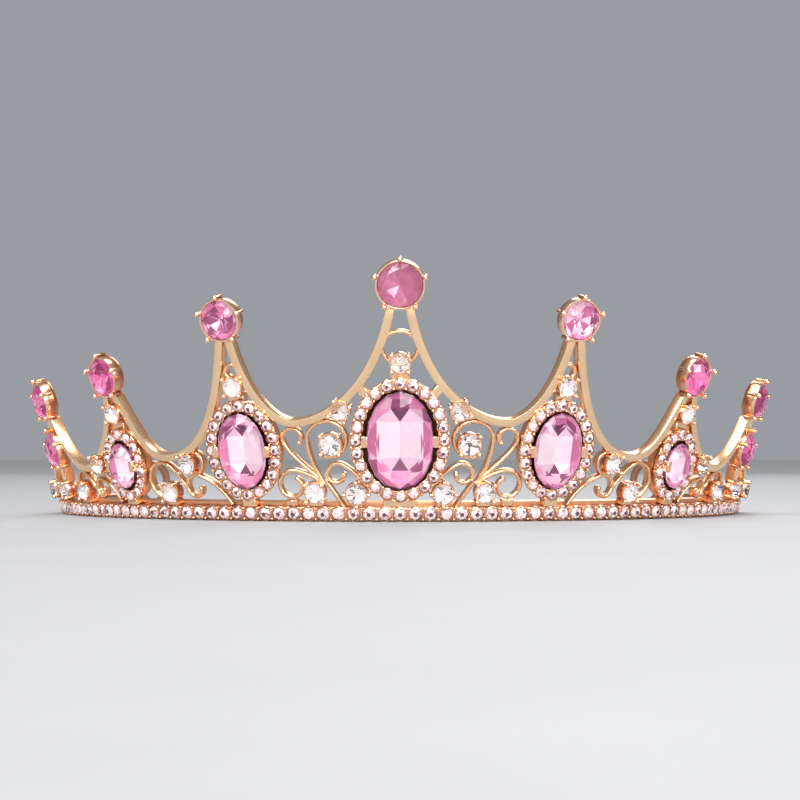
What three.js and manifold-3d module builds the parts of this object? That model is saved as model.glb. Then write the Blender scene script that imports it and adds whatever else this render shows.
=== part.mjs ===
// A tiara: a band of small clear stones bent round the head, seven flared peaks joined by
// concave arch strips, scrollwork between them, pink and clear cut stones, and two wire
// loops behind the ends of the band for hairpins or a ribbon.
//
// Everything but the end wires is laid out on a flat pattern and bent round the head:
// u runs along the band, v up the slanted face, w out of the face, all in millimetres.

import * as THREE from 'three';
import { ConvexGeometry } from 'three/addons/geometries/ConvexGeometry.js';
import { mergeVertices } from 'three/addons/utils/BufferGeometryUtils.js';
import Module from 'manifold-3d';

const wasm = await Module();
wasm.setup();

// Form of the band and of the flared face
const HEAD_RADIUS = 70;
const FLARE = THREE.MathUtils.degToRad(15);
const HEAD_CENTRE_Y = 21.91;
const BAND_HALF_HEIGHT = 1.4;
const BAND_DEPTH = 1.2;
const BAND_STONES = 77;
const BAND_PITCH = 2.75;
const BAND_LENGTH = BAND_STONES * BAND_PITCH;

// Clearance between pieces that are separate solids
const GAP = 0.3;

// Base rail that the arches, scrolls and cups are soldered to, behind the stone band
const RAIL_FRONT = -BAND_DEPTH - GAP;
const RAIL_BACK = -2.7;
const RAIL_TOP = 2.3;
const RAIL_BENDS = 27;

// Flat strip of the arches, and the round wire of the scrolls with its section squared
const STRIP_WIDTH = 1.4;
const STRIP_FRONT = 0;
const WIRE_WIDTH = 0.78;
const WIRE_FRONT = -0.5;
const METAL_BACK = -2;
const METAL_FOOT = BAND_HALF_HEIGHT + GAP;

// Small stones set in rows: a square table turned on a square foot, with eight facets between
const SMALL_STONE = { foot: 1.2, table: 0.8, rise: 0.5 };

// Halo ring and the dish behind it
const HALO_FRONT = 0.25;
const HALO_BACK = -0.5;
const HALO_EDGE = 0.98;
const DISH_FRONT = HALO_BACK - GAP;
const DISH_BACK = -2.5;
const DISH_SHARE = 0.95;
const CLAW = { thick: 0.4, tall: 2.0, top: 1.5, inside: 0.2 };

// Cuts of the large stones: heights along w, table and back as shares of the girdle
const OVAL_CUT = { sides: 16, back: -0.5, girdle: 0.7, top: 2.0, backShare: 0.75, tableShare: 0.58 };
const ROUND_CUT = { sides: 10, back: 0.35, girdle: 0.6, top: 1.9, backShare: 0.95, tableShare: 0.58 };
const CLEAR_CUT = { sides: 8, back: 0.35, top: 1.35, backShare: 1, tableShare: 0.6 };

// Cups of the large stones
const ROUND_CUP = { sides: 10, valley: 0.7, lobe: 1.1 };
const ROUND_PRONG = { count: 5, size: 0.6, top: 1.25 };
const CLEAR_PRONG_TOP = 1.1;

// Peaks with an oval stone. u: place along the band, lean: sideways drift for each
// millimetre of height, oval: stone's width and height, halo: half axes of its stone row.
const PEAKS = [
  { name: 'centre', u: 0, lean: 0, oval: [12, 18], ovalAt: 13.5, halo: [7.8, 10.2], stones: 24,
    clearAt: 27.4, roundAt: 41.3, roundWidth: 8, ringAt: 30, ringRadius: 3.3, foot: 6 },
  { name: 'second', u: 27.5, lean: 0.055, oval: [9.4, 14], ovalAt: 11.7, halo: [6.25, 8.2], stones: 20,
    clearAt: 23.3, roundAt: 35.5, roundWidth: 7, ringAt: 26, ringRadius: 1.6, foot: 2.6 },
  { name: 'third', u: 55, lean: 0.03, oval: [6.2, 8.6], ovalAt: 8.9, halo: [4.65, 5.9], stones: 14,
    clearAt: 18.7, roundAt: 25.8, roundWidth: 7, foot: 2.6 },
];
const PEAK_CLEAR_WIDTH = 3.3;
const NECK = { width: 3.4, height: 2.6 };

// Last peak on each side: one clear stone and two round pink ones above it
const END_PEAK = { u: 82.5, clearAt: 3.8, roundWidth: 7 };
const END_ROUNDS = [
  { name: 'lower', v: 11.9 },
  { name: 'upper', v: 21.8 },
];

// Clear stones of the scrollwork, on each side
const GAP_STONES = [
  { name: 'first_strip', u: 9.95, v: 18.8, width: 3.3, turn: 22 },
  { name: 'first_loop', u: 11.8, v: 12.7, width: 3.8, turn: 0 },
  { name: 'first_inner', u: 7.6, v: 3.7, width: 3.6, turn: 45 },
  { name: 'first_outer', u: 15, v: 3.9, width: 3.5, turn: 0 },
  { name: 'second_strip', u: 39.4, v: 9.1, width: 3.3, turn: 0 },
  { name: 'second_curl', u: 44.3, v: 3.8, width: 3.4, turn: 0 },
  { name: 'third_strip', u: 63.4, v: 9, width: 3.3, turn: 0 },
  { name: 'third_curl', u: 71.6, v: 3.8, width: 3.4, turn: 0 },
  { name: 'last', u: 98.5, v: 3.8, width: 3.4, turn: 0 },
];

// Arch strips, from the cup at a peak's top down to the bottom of a valley. lean: angle of
// the strip's first stretch, drop and run: lengths of the two handles of the curve.
const HALF_ARCHES = [
  { top: [1.5, 37.1], valley: [18.3, 16.6], lean: 9.7, drop: 16, run: 5.1, steps: 9 },
  { top: [27.95, 31.7], valley: [18.3, 16.6], lean: 9.6, drop: 13.2, run: 1.3, steps: 7 },
  { top: [29.65, 31.7], valley: [44, 10.3], lean: 9.2, drop: 6, run: 11.1, steps: 8 },
  { top: [54.2, 22.1], valley: [44, 10.3], lean: 28, drop: 6.4, run: 4.9, steps: 6 },
  { top: [56.7, 22.1], valley: [68.9, 8.2], lean: 4, drop: 8, run: 5, steps: 7 },
  { top: [81.2, 18.1], valley: [68.9, 8.2], lean: 20, drop: 5, run: 5, steps: 6 },
  { top: [83.8, 18.1], valley: [103.4, 2], lean: 14, drop: 9, run: 8, steps: 7 },
];

// Scrolls on each side. Each leaves its root, runs into a spiral round its eye at the
// start angle and turns through the sweep while its radius shrinks from outer to inner.
// lead: lengths of the handles at the root and at the spiral, aim: angle at the root.
const SCROLLS = [
  { root: [13.5, 5.6], eye: [12.4, 13.4], outer: 3.6, inner: 3.1, start: -5, sweep: 285, aim: 58, lead: [2.5, 3], steps: 10 },
  { root: [5.6, 4.6], eye: [11, 7.05], outer: 2.1, inner: 1.2, start: 112, sweep: -290, aim: 62, lead: [2, 1.4], steps: 9 },
  { root: [13.4, 5.6], eye: [18.5, 13.75], outer: 1.95, inner: 1.45, start: -22, sweep: 240, aim: 43, lead: [3.5, 2.4], steps: 8 },
  { root: [13.3, 5.4], eye: [19.1, 5], outer: 2.85, inner: 1.5, start: 100, sweep: -335, aim: 40, lead: [2, 1.5], steps: 11 },
  { root: [31.3, 1.5], eye: [38.6, 4.4], outer: 2.55, inner: 1, start: 105, sweep: -285, aim: 60, lead: [3.5, 2.5], steps: 9 },
  { root: [40.3, 3.9], eye: [46, 5.9], outer: 3.25, inner: 3.4, start: 125, sweep: -205, aim: 62, lead: [1.5, 1.5], steps: 7 },
  { root: [59, 1.5], eye: [65.4, 3.9], outer: 2.2, inner: 0.9, start: 105, sweep: -285, aim: 60, lead: [3, 2.2], steps: 9 },
  { root: [67.1, 3.6], eye: [72.3, 4.9], outer: 2.6, inner: 2.7, start: 125, sweep: -200, aim: 66, lead: [1.3, 1.2], steps: 7 },
  { root: [88.3, 1.5], eye: [93, 3.9], outer: 2, inner: 0.9, start: 105, sweep: -285, aim: 60, lead: [2.2, 1.8], steps: 8 },
];

// Plain stems and short lugs, from one point to another, on each side
const STEMS = [
  { from: [12.9, 5.6], to: [9.9, 1.2], width: WIRE_WIDTH, front: WIRE_FRONT },
  { from: [6.9, 23.3], to: [5.2, 21.2], width: 1.5, front: STRIP_FRONT },
  { from: [19.5, 2.9], to: [19.5, 1.2], width: 2.2, front: WIRE_FRONT },
  { from: [82.5, 5.6], to: [82.5, 8.05], width: 2.6, front: STRIP_FRONT },
  { from: [82.5, 15.8], to: [82.5, 17.95], width: 2.6, front: STRIP_FRONT },
];

// Open rings of wire behind the clear stones at the arches
const SIDE_RINGS = [
  { u: 38.5, v: 9.2, radius: 2.4 },
  { u: 62.7, v: 9.1, radius: 2.4 },
];
const RING_WIRE = 0.75;
const RING_SIDES = 10;

// End wires: round wire soldered inside the ends of the band, run back to an upright eye
const END_WIRE_RADIUS = 0.85;
const END_WIRE_SIDES = 6;
const END_WIRE_STEPS = 9;
const EYE = { x: 55.5, y: 35, z: 5.4, radius: 4.35, turn: THREE.MathUtils.degToRad(35), steps: 12 };

const GOLD = new THREE.MeshStandardMaterial({ color: 0xe0a585, roughness: 0.28, metalness: 1 });
const PINK = new THREE.MeshStandardMaterial({ color: 0xe887c3, roughness: 0.08, metalness: 0 });
const CLEAR = new THREE.MeshStandardMaterial({ color: 0xf1e4e6, roughness: 0.08, metalness: 0 });

const SIDES = [
  { name: 'right', sign: 1 },
  { name: 'left', sign: -1 },
];

const radians = THREE.MathUtils.degToRad;

// Solids: from a closed three.js geometry and back

function solid(geometry) {
  const bare = geometry.clone();
  bare.deleteAttribute('normal');
  bare.deleteAttribute('uv');
  const merged = mergeVertices(bare, 1e-4);
  const index = merged.index.array;
  const corners = [];
  for (let i = 0; i < index.length; i += 3) {
    const [a, b, c] = [index[i], index[i + 1], index[i + 2]];
    if (a !== b && b !== c && c !== a) corners.push(a, b, c);
  }
  return new wasm.Manifold(new wasm.Mesh({
    numProp: 3,
    vertProperties: new Float32Array(merged.attributes.position.array),
    triVerts: new Uint32Array(corners),
  }));
}

function geometryOf(manifold) {
  const mesh = manifold.getMesh();
  const geometry = new THREE.BufferGeometry();
  geometry.setAttribute('position', new THREE.BufferAttribute(mesh.vertProperties, 3));
  geometry.setIndex(new THREE.BufferAttribute(mesh.triVerts, 1));
  geometry.computeVertexNormals();
  return geometry;
}

function joined(solids) {
  return wasm.Manifold.union(solids);
}

// Placing: the bend of the flat pattern, and a rigid seat on the bent face

function bentPoint(u, v, w) {
  const angle = u / HEAD_RADIUS;
  const radius = HEAD_RADIUS + v * Math.sin(FLARE) + w * Math.cos(FLARE);
  const height = (v + BAND_HALF_HEIGHT) * Math.cos(FLARE) - w * Math.sin(FLARE);
  return new THREE.Vector3(radius * Math.sin(angle), HEAD_CENTRE_Y - radius * Math.cos(angle), height);
}

function bend(geometry) {
  const position = geometry.attributes.position;
  for (let i = 0; i < position.count; i++) {
    const point = bentPoint(position.getX(i), position.getY(i), position.getZ(i));
    position.setXYZ(i, point.x, point.y, point.z);
  }
  return geometry;
}

function seat(geometry, u, v, turn = 0) {
  const angle = u / HEAD_RADIUS;
  const along = new THREE.Vector3(Math.cos(angle), Math.sin(angle), 0);
  const out = new THREE.Vector3(
    Math.cos(FLARE) * Math.sin(angle), -Math.cos(FLARE) * Math.cos(angle), -Math.sin(FLARE));
  const up = new THREE.Vector3().crossVectors(out, along);
  const place = new THREE.Matrix4().makeBasis(along, up, out).setPosition(bentPoint(u, v, 0));
  return geometry.rotateZ(turn).applyMatrix4(place);
}

// Plain shapes in the flat pattern's own directions

function slab(shape, back, front) {
  const geometry = new THREE.ExtrudeGeometry(shape, { depth: front - back, bevelEnabled: false });
  return geometry.translate(0, 0, back);
}

function block(width, height, back, front) {
  return new THREE.BoxGeometry(width, height, front - back).translate(0, 0, (front + back) / 2);
}

// Points spaced evenly round an oval, from its top or from half a step past it
function ovalPoints(halfU, halfV, count, firstStep) {
  const curve = new THREE.EllipseCurve(0, 0, halfU, halfV, Math.PI / 2, 2.5 * Math.PI);
  return curve.getSpacedPoints(2 * count).filter((point, i) => i < 2 * count && i % 2 === firstStep);
}

// Oval with flat sides that touch the named size, one of them at its top
function oval(halfU, halfV, sides) {
  const spread = 1 / Math.cos(Math.PI / sides);
  return new THREE.Shape(ovalPoints(halfU * spread, halfV * spread, sides, 1));
}

function ovalRing(outerU, outerV, innerU, innerV, sides) {
  const ring = oval(outerU, outerV, sides);
  ring.holes.push(new THREE.Path(oval(innerU, innerV, sides).getPoints()));
  return ring;
}

// Cut stone from level outlines: its back, its girdle if that is wider, and its table
function cutStone(width, height, cut) {
  const levels = [
    [cut.back, cut.backShare],
    [cut.top, cut.tableShare],
  ];
  if (cut.girdle !== undefined) levels.push([cut.girdle, 1]);
  const corners = levels.flatMap(([w, share]) => {
    const outline = ovalPoints(share * width / 2, share * height / 2, cut.sides, 1);
    return outline.map((point) => new THREE.Vector3(point.x, point.y, w));
  });
  return new ConvexGeometry(corners);
}

function smallStone(surface) {
  const { foot, table, rise } = SMALL_STONE;
  const corners = [];
  for (let i = 0; i < 4; i++) {
    const low = Math.PI * (i + 0.5) / 2;
    const high = Math.PI * i / 2;
    corners.push(new THREE.Vector3(foot * Math.cos(low), foot * Math.sin(low), surface));
    corners.push(new THREE.Vector3(table * Math.cos(high), table * Math.sin(high), surface + rise));
  }
  return new ConvexGeometry(corners);
}

// Outline of a strip or wire that follows points of the flat pattern
function ribbon(points, width, front) {
  const left = [];
  const right = [];
  points.forEach((point, i) => {
    const before = points[Math.max(i - 1, 0)];
    const after = points[Math.min(i + 1, points.length - 1)];
    const across = after.clone().sub(before).normalize().multiplyScalar(width / 2);
    left.push(new THREE.Vector2(point.x - across.y, point.y + across.x));
    right.unshift(new THREE.Vector2(point.x + across.y, point.y - across.x));
  });
  return slab(new THREE.Shape([...left, ...right]), METAL_BACK, front);
}

function archCurve(arch, sign) {
  const toValley = Math.sign(arch.valley[0] - arch.top[0]);
  const lean = radians(arch.lean);
  const top = new THREE.Vector2(...arch.top);
  const valley = new THREE.Vector2(...arch.valley);
  const fall = new THREE.Vector2(toValley * Math.sin(lean), -Math.cos(lean)).multiplyScalar(arch.drop);
  const curve = new THREE.CubicBezierCurve(
    top, top.clone().add(fall), valley.clone().sub(new THREE.Vector2(toValley * arch.run, 0)), valley);
  return curve.getSpacedPoints(arch.steps).map((p) => new THREE.Vector2(sign * p.x, p.y));
}

function scrollCurve(scroll, sign) {
  const onSpiral = (share) => {
    const angle = radians(scroll.start + scroll.sweep * share);
    const radius = scroll.outer + (scroll.inner - scroll.outer) * share;
    return new THREE.Vector2(
      scroll.eye[0] + radius * Math.cos(angle), scroll.eye[1] + radius * Math.sin(angle));
  };
  const turning = radians(scroll.start + Math.sign(scroll.sweep) * 90);
  const heading = new THREE.Vector2(Math.cos(turning), Math.sin(turning));
  const root = new THREE.Vector2(...scroll.root);
  const aim = new THREE.Vector2(Math.cos(radians(scroll.aim)), Math.sin(radians(scroll.aim)));
  const stem = new THREE.CubicBezierCurve(
    root, root.clone().add(aim.multiplyScalar(scroll.lead[0])),
    onSpiral(0).sub(heading.multiplyScalar(scroll.lead[1])), onSpiral(0));
  const stemSteps = 3;
  const points = stem.getSpacedPoints(stemSteps);
  for (let i = 1; i <= scroll.steps; i++) points.push(onSpiral(i / scroll.steps));
  return points.map((p) => new THREE.Vector2(sign * p.x, p.y));
}

// Rail or band: a section of w and v, carried along the whole length in short bends.
// Its underside is level, so it slopes in the flat pattern.
function levelBar(back, front, top, bends) {
  const under = (w) => -BAND_HALF_HEIGHT + w * Math.tan(FLARE);
  const section = new THREE.Shape([
    new THREE.Vector2(-back, under(back)),
    new THREE.Vector2(-back, top),
    new THREE.Vector2(-front, top),
    new THREE.Vector2(-front, under(front)),
  ]);
  const bar = new THREE.ExtrudeGeometry(section, { depth: BAND_LENGTH, steps: bends, bevelEnabled: false });
  const upright = new THREE.Matrix4().set(0, 0, 1, 0, 0, 1, 0, 0, -1, 0, 0, 0, 0, 0, 0, 1);
  return bar.translate(0, 0, -BAND_LENGTH / 2).applyMatrix4(upright);
}

// Metal of the frame: cut flat and then bent with the face, or set rigidly on it
const flatMetal = [];
const flatCuts = [];
const setMetal = [];

function addFlat(geometry, u = 0, v = 0, turn = 0) {
  flatMetal.push(solid(geometry.rotateZ(turn).translate(u, v, 0)));
}

function addSet(geometry, u, v) {
  setMetal.push(solid(seat(geometry, u, v)));
}

// Cup of a round stone: a drum with a lobe under each prong
function addRoundCup(u, v, width) {
  const outline = [];
  for (let i = 0; i < ROUND_CUP.sides; i++) {
    const angle = Math.PI / 2 + 2 * Math.PI * i / ROUND_CUP.sides;
    const radius = width / 2 + (i % 2 === 0 ? ROUND_CUP.lobe : ROUND_CUP.valley);
    outline.push(new THREE.Vector2(radius * Math.cos(angle), radius * Math.sin(angle)));
  }
  addFlat(slab(new THREE.Shape(outline), METAL_BACK, STRIP_FRONT), u, v);
  for (let i = 0; i < ROUND_PRONG.count; i++) {
    const prong = block(ROUND_PRONG.size, ROUND_PRONG.size, STRIP_FRONT, ROUND_PRONG.top);
    prong.translate(0, width / 2 + GAP + ROUND_PRONG.size / 2, 0);
    addFlat(prong.rotateZ(2 * Math.PI * i / ROUND_PRONG.count), u, v);
  }
}

// Cup of a clear stone: a square block with a three-sided prong at each corner
function addClearCup(u, v, width, turn = 0) {
  const half = width / 2 + GAP;
  addFlat(block(2 * half, 2 * half, METAL_BACK, STRIP_FRONT), u, v, turn);
  const leg = (2 - Math.SQRT2) * half;
  for (let i = 0; i < 4; i++) {
    const corner = new THREE.Shape([
      new THREE.Vector2(half, half),
      new THREE.Vector2(half - leg, half),
      new THREE.Vector2(half, half - leg),
    ]);
    addFlat(slab(corner, STRIP_FRONT, CLEAR_PRONG_TOP), u, v, turn + Math.PI * i / 2);
  }
}

function addWireRing(u, v, radius) {
  const inner = radius - RING_WIRE;
  addFlat(slab(ovalRing(radius, radius, inner, inner, RING_SIDES), METAL_BACK, WIRE_FRONT), u, v);
}

// Dish and claws of an oval stone, and the room for its halo cut out of what passes there
function addOvalSetting(peak, u) {
  const [halfU, halfV] = peak.halo.map((size) => size + HALO_EDGE);
  const dish = oval(halfU * DISH_SHARE, halfV * DISH_SHARE, peak.stones / 2);
  addSet(slab(dish, DISH_BACK, DISH_FRONT), u, peak.ovalAt);
  for (const side of [1, -1]) {
    const claw = block(CLAW.thick, CLAW.tall, DISH_BACK + 0.2, CLAW.top);
    claw.translate(side * (peak.oval[0] / 2 + CLAW.inside + CLAW.thick / 2), 0, 0);
    addSet(claw, u, peak.ovalAt);
  }
  const room = slab(oval(halfU + GAP, halfV + GAP, peak.stones), DISH_FRONT - 0.1, 4);
  flatCuts.push(solid(room.translate(u, peak.ovalAt, 0)));
}

function peakPlace(peak, sign, v) {
  return [sign * (peak.u + peak.lean * (v - peak.ovalAt)), v];
}

function addPeakMetal(peak, sign) {
  addOvalSetting(peak, sign * peak.u);
  addClearCup(...peakPlace(peak, sign, peak.clearAt), PEAK_CLEAR_WIDTH);
  addRoundCup(...peakPlace(peak, sign, peak.roundAt), peak.roundWidth);
  if (peak.ringRadius) addWireRing(...peakPlace(peak, sign, peak.ringAt), peak.ringRadius);
  const reach = peak.halo[1] + HALO_EDGE;
  addFlat(block(NECK.width, NECK.height, METAL_BACK, WIRE_FRONT), ...peakPlace(peak, sign, peak.ovalAt + reach));
  addFlat(block(peak.foot, NECK.height, METAL_BACK, STRIP_FRONT), sign * peak.u, peak.ovalAt - reach);
}

function addSideMetal(sign) {
  for (const arch of HALF_ARCHES) addFlat(ribbon(archCurve(arch, sign), STRIP_WIDTH, STRIP_FRONT));
  for (const scroll of SCROLLS) addFlat(ribbon(scrollCurve(scroll, sign), WIRE_WIDTH, WIRE_FRONT));
  for (const stem of STEMS) {
    const ends = [stem.from, stem.to].map(([u, v]) => new THREE.Vector2(sign * u, v));
    addFlat(ribbon(ends, stem.width, stem.front));
  }
  for (const stone of GAP_STONES) addClearCup(sign * stone.u, stone.v, stone.width, sign * radians(stone.turn));
  for (const ring of SIDE_RINGS) addWireRing(sign * ring.u, ring.v, ring.radius);
  addClearCup(sign * END_PEAK.u, END_PEAK.clearAt, PEAK_CLEAR_WIDTH);
  for (const round of END_ROUNDS) addRoundCup(sign * END_PEAK.u, round.v, END_PEAK.roundWidth);
}

// End wire: a straight stretch behind the rail, a slow bend inward, and an upright eye
function endWire(sign) {
  const inset = RAIL_BACK - END_WIRE_RADIUS - GAP - 0.15;
  const along = new THREE.Vector3(sign * -Math.sin(EYE.turn), Math.cos(EYE.turn), 0);
  const centre = new THREE.Vector3(sign * EYE.x, HEAD_CENTRE_Y + EYE.y, EYE.z);
  const path = new THREE.CatmullRomCurve3([
    bentPoint(sign * (BAND_LENGTH / 2 - 7), 0.3, inset),
    bentPoint(sign * (BAND_LENGTH / 2 - 2.5), 0.3, inset),
    new THREE.Vector3(sign * 60.6, HEAD_CENTRE_Y + 10, 3),
    new THREE.Vector3(sign * 58.6, HEAD_CENTRE_Y + 21, 4.2),
    centre.clone().addScaledVector(along, -EYE.radius),
  ]);
  const section = oval(END_WIRE_RADIUS, END_WIRE_RADIUS, END_WIRE_SIDES);
  const shank = new THREE.ExtrudeGeometry(
    section, { steps: END_WIRE_STEPS, extrudePath: path, bevelEnabled: false });
  const eye = new THREE.TorusGeometry(EYE.radius, END_WIRE_RADIUS, END_WIRE_SIDES, EYE.steps);
  const up = new THREE.Vector3(0, 0, 1);
  const across = new THREE.Vector3().crossVectors(along, up);
  eye.applyMatrix4(new THREE.Matrix4().makeBasis(along, up, across).setPosition(centre));
  return joined([solid(shank), solid(eye)]);
}

// The whole soldered frame as one solid
function tiaraFrame() {
  for (const peak of PEAKS) {
    for (const { sign } of sidesOf(peak)) addPeakMetal(peak, sign);
  }
  for (const { sign } of SIDES) {
    addSideMetal(sign);
  }
  const below = block(BAND_LENGTH + 10, 20, -4, 4).translate(0, METAL_FOOT - 10, 0);
  flatCuts.push(solid(below));
  const flat = joined(flatMetal).subtract(joined(flatCuts));
  const rail = solid(bend(levelBar(RAIL_BACK, RAIL_FRONT, RAIL_TOP, RAIL_BENDS)));
  return joined([solid(bend(geometryOf(flat))), rail, ...setMetal]);
}

// Band of small stones, one body with the channel that holds them
function stoneBand() {
  const pieces = [solid(levelBar(-BAND_DEPTH, 0, BAND_HALF_HEIGHT, BAND_STONES))];
  for (let i = 0; i < BAND_STONES; i++) {
    pieces.push(solid(smallStone(0).translate((i - (BAND_STONES - 1) / 2) * BAND_PITCH, 0, 0)));
  }
  return solid(bend(geometryOf(joined(pieces))));
}

// Halo: a ring of small stones, one body with its ring
function halo(peak, u) {
  const [halfU, halfV] = peak.halo;
  const [innerU, innerV] = peak.oval.map((size) => size / 2 + CLAW.inside + CLAW.thick + GAP);
  const ring = ovalRing(halfU + HALO_EDGE, halfV + HALO_EDGE, innerU, innerV, peak.stones);
  const pieces = [solid(slab(ring, HALO_BACK, HALO_FRONT))];
  for (const place of ovalPoints(halfU, halfV, peak.stones, 0)) {
    const turn = Math.atan2(place.y, place.x);
    pieces.push(solid(smallStone(HALO_FRONT).rotateZ(turn).translate(place.x, place.y, 0)));
  }
  return solid(seat(geometryOf(joined(pieces)), u, peak.ovalAt));
}

function sidesOf(peak) {
  return peak.u === 0 ? [{ name: '', sign: 1 }] : SIDES;
}

const tiara = new THREE.Group();

function addNode(name, manifold, material) {
  const mesh = new THREE.Mesh(geometryOf(manifold), material);
  mesh.name = name;
  tiara.add(mesh);
}

function addStone(name, width, height, cut, material, u, v) {
  addNode(name, solid(seat(cutStone(width, height, cut), u, v)), material);
}

addNode('frame', tiaraFrame(), GOLD);
addNode('stone_band', stoneBand(), CLEAR);

for (const peak of PEAKS) {
  for (const { name: side, sign } of sidesOf(peak)) {
    const label = side ? `${peak.name}_${side}` : peak.name;
    const place = (v) => peakPlace(peak, sign, v);
    addNode(`halo_${label}`, halo(peak, sign * peak.u), CLEAR);
    addStone(`oval_${label}`, ...peak.oval, OVAL_CUT, PINK, sign * peak.u, peak.ovalAt);
    addStone(`clear_peak_${label}`, PEAK_CLEAR_WIDTH, PEAK_CLEAR_WIDTH, CLEAR_CUT, CLEAR, ...place(peak.clearAt));
    addStone(`round_${label}`, peak.roundWidth, peak.roundWidth, ROUND_CUT, PINK, ...place(peak.roundAt));
  }
}

for (const { name: side, sign } of SIDES) {
  const u = sign * END_PEAK.u;
  addNode(`end_wire_${side}`, endWire(sign), GOLD);
  for (const stone of GAP_STONES) {
    addStone(`clear_${stone.name}_${side}`, stone.width, stone.width, CLEAR_CUT, CLEAR, sign * stone.u, stone.v);
  }
  addStone(`clear_peak_end_${side}`, PEAK_CLEAR_WIDTH, PEAK_CLEAR_WIDTH, CLEAR_CUT, CLEAR, u, END_PEAK.clearAt);
  for (const round of END_ROUNDS) {
    addStone(`round_end_${round.name}_${side}`, END_PEAK.roundWidth, END_PEAK.roundWidth, ROUND_CUT, PINK, u, round.v);
  }
}

export default tiara;
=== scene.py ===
import math
import random
from typing import NamedTuple

import bmesh
import bpy
from bpy.props import FloatProperty, FloatVectorProperty, PointerProperty
from mathutils import Matrix, Vector
from mathutils.geometry import interpolate_bezier


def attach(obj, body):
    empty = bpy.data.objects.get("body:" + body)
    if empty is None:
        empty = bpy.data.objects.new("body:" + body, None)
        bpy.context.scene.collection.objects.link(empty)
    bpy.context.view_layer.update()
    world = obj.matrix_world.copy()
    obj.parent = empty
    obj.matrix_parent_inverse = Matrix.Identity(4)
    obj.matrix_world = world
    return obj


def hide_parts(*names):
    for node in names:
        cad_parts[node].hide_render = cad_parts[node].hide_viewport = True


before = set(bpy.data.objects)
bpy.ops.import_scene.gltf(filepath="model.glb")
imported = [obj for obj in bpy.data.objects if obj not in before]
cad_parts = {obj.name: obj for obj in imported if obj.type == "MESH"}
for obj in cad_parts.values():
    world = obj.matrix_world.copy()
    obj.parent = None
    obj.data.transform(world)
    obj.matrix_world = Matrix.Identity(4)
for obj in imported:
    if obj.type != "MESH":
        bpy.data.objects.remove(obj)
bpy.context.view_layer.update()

bl_info = {
    "name": "Jewelled Tiara",
    "version": (1, 0, 0),
    "blender": (4, 5, 0),
    "location": "View3D > Sidebar > Tiara",
    "description": "Rose gold tiara with pink and clear stones, modelled over its packed frame",
    "category": "Object",
}

# The drawing: u runs along the band, v up the slanted face, w out of it, in millimetres.
# It is the pattern that the solids are made from, and is bent round the head in the same way.
MM = 0.001
HEAD_RADIUS = 70
FLARE = math.radians(15)
HEAD_CENTRE_Y = 21.91
BAND_HALF_HEIGHT = 1.4
BAND_STONES = 77
BAND_PITCH = 2.75
BAND_LENGTH = BAND_STONES * BAND_PITCH
OUTWARD = Vector((0, 0, 1))

METAL_BACK = -2
STRIP_FRONT = 0
WIRE_FRONT = -0.5
RAIL_BACK = -2.7
RAIL_FRONT = -1.5
RAIL_TOP = 1.85
BAND_BENDS = 2 * BAND_STONES
CHANNEL_BACK = -1.5
CHANNEL_FRONT = -0.25
CHANNEL_TOP = 1.2
CHANNEL_HEEL = -1.2
BEAD_ROW = 0.98
HALO_MARGIN = 0.98
HALO_PLATE = (1.9, -0.75, -0.05)
HALO_BEAD_ROW = 0.8

# Radius and height of the collars and the small stones in each kind of row
BAND_COLLAR = (1.37, 0.1)
BAND_STONE = (1.14, 0.0)
HALO_COLLAR = (1.17, 0.3)
HALO_STONE = (0.95, 0.2)
ROW_STONE_CUTS = 7


class Peak(NamedTuple):
    """A peak with an oval stone: its places up the face, and the lean that carries them sideways."""
    u: float
    lean: float
    oval: tuple
    oval_at: float
    halo: tuple
    stones: int
    clear_at: float
    round_at: float
    round_width: float
    ring_at: float
    ring_radius: float
    foot: float

    def place(self, v):
        """The peak's leaning middle line at a height up the face."""
        return self.u + self.lean * (v - self.oval_at), v


CENTRE_PEAK = Peak(0, 0, (12, 18), 13.5, (7.8, 10.2), 24, 27.4, 41.3, 8, 30, 3.3, 6)
SIDE_PEAKS = (
    Peak(27.5, 0.055, (9.4, 14), 11.7, (6.25, 8.2), 20, 23.3, 35.5, 7, 26, 1.6, 2.6),
    Peak(55, 0.03, (6.2, 8.6), 8.9, (4.65, 5.9), 14, 18.7, 25.8, 7, 0, 0, 2.6),
)
PEAK_CLEAR_WIDTH = 3.3
END_PEAK_U = 82.5
END_CLEAR_V = 3.8
END_ROUNDS_V = (11.9, 21.8)
END_ROUND_WIDTH = 7
END_PEAK_LINKS = ((5.3, 8.3), (15.6, 18.2))
FOOT_LOW = 1.3
FOOT_HIGH = 2.4
SHORT_FOOT_U = 19.5
SHORT_FOOT_WIDTH = 2.2
STONE_FOOT_WIDTH = 2.4
END_LINK_WIDTH = 2.6
NECK_WIDTH = 3
NECK_REACH = 1.3
FRONT_REACH = 35
CLAW_OUT = 0.85
CLAW_EDGE = 0.25
CLAW_LIP = -0.3
ROUND_PRONG_OUT = 0.62
CLEAR_PRONG_OUT = 0.42


class ClearStone(NamedTuple):
    """A clear stone of the scrollwork, with the turn of its four prongs in degrees."""
    u: float
    v: float
    width: float
    turn: float


SCROLL_STONES = (
    ClearStone(9.95, 18.8, 3.3, 22),
    ClearStone(11.8, 12.7, 3.8, 0),
    ClearStone(7.6, 3.7, 3.6, 45),
    ClearStone(15, 3.9, 3.5, 0),
    ClearStone(39.4, 9.1, 3.3, 0),
    ClearStone(44.3, 3.8, 3.4, 0),
    ClearStone(63.4, 9, 3.3, 0),
    ClearStone(71.6, 3.8, 3.4, 0),
    ClearStone(98.5, 3.8, 3.4, 0),
)


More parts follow.
